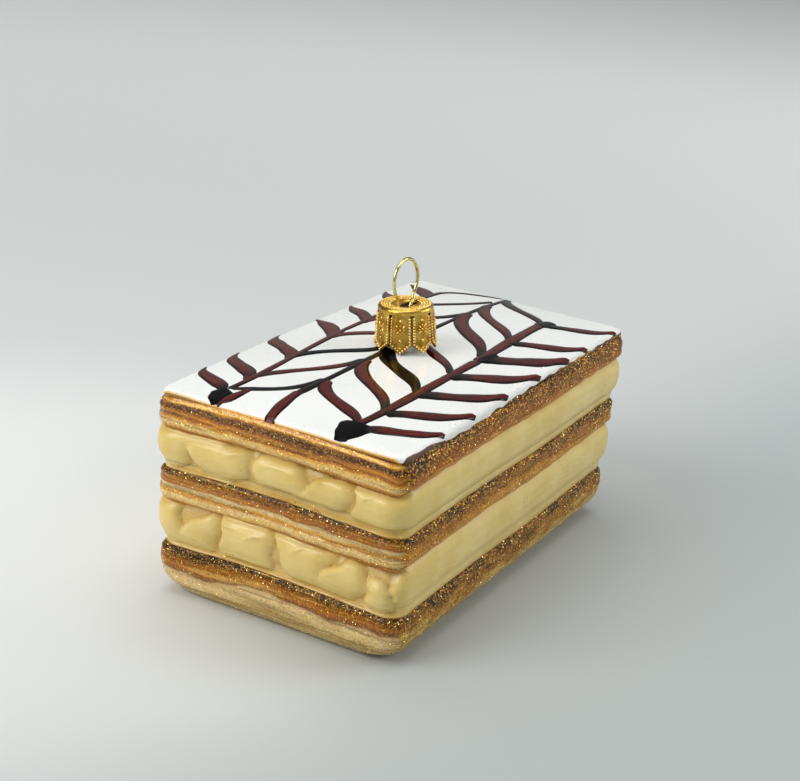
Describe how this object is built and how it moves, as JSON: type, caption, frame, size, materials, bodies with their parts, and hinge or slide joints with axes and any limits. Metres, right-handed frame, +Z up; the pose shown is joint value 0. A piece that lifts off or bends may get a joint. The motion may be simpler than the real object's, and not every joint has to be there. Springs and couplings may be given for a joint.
{
  "type": "mille feuille glass ornament",
  "caption": "Blown-glass hanging ornament shaped as a mille feuille slice, with piped cream ends, feathered icing, a petalled metal cap and a wire loop.",
  "frame": {"origin": "middle of the flat base, at the bottom of the bounding box", "axes": "+Z up through the icing to the hanger, +X along the slice's long side, -Y the long side that the camera sees"},
  "size_m": [0.098, 0.0532, 0.0609],
  "materials": {
    "painted_glass": "blown glass painted all over, satin to gloss",
    "icing_enamel": "smooth white enamel, semi-gloss",
    "pastry_lacquer": "amber, brown and champagne lacquer over silvered glass, streaked along the layers",
    "cream_enamel": "pale custard enamel, satin",
    "chocolate_enamel": "dark oxblood glaze strokes, glossy",
    "glitter": "fine gold and iridescent glass glitter",
    "gold_cap": "stamped, beaded, bright gold plate",
    "brass_wire": "pale, polished"
  },
  "bodies": {
    "root": {"glass_body": "painted_glass", "cap": "gold_cap", "hanger": "brass_wire"}
  },
  "joints": []
}
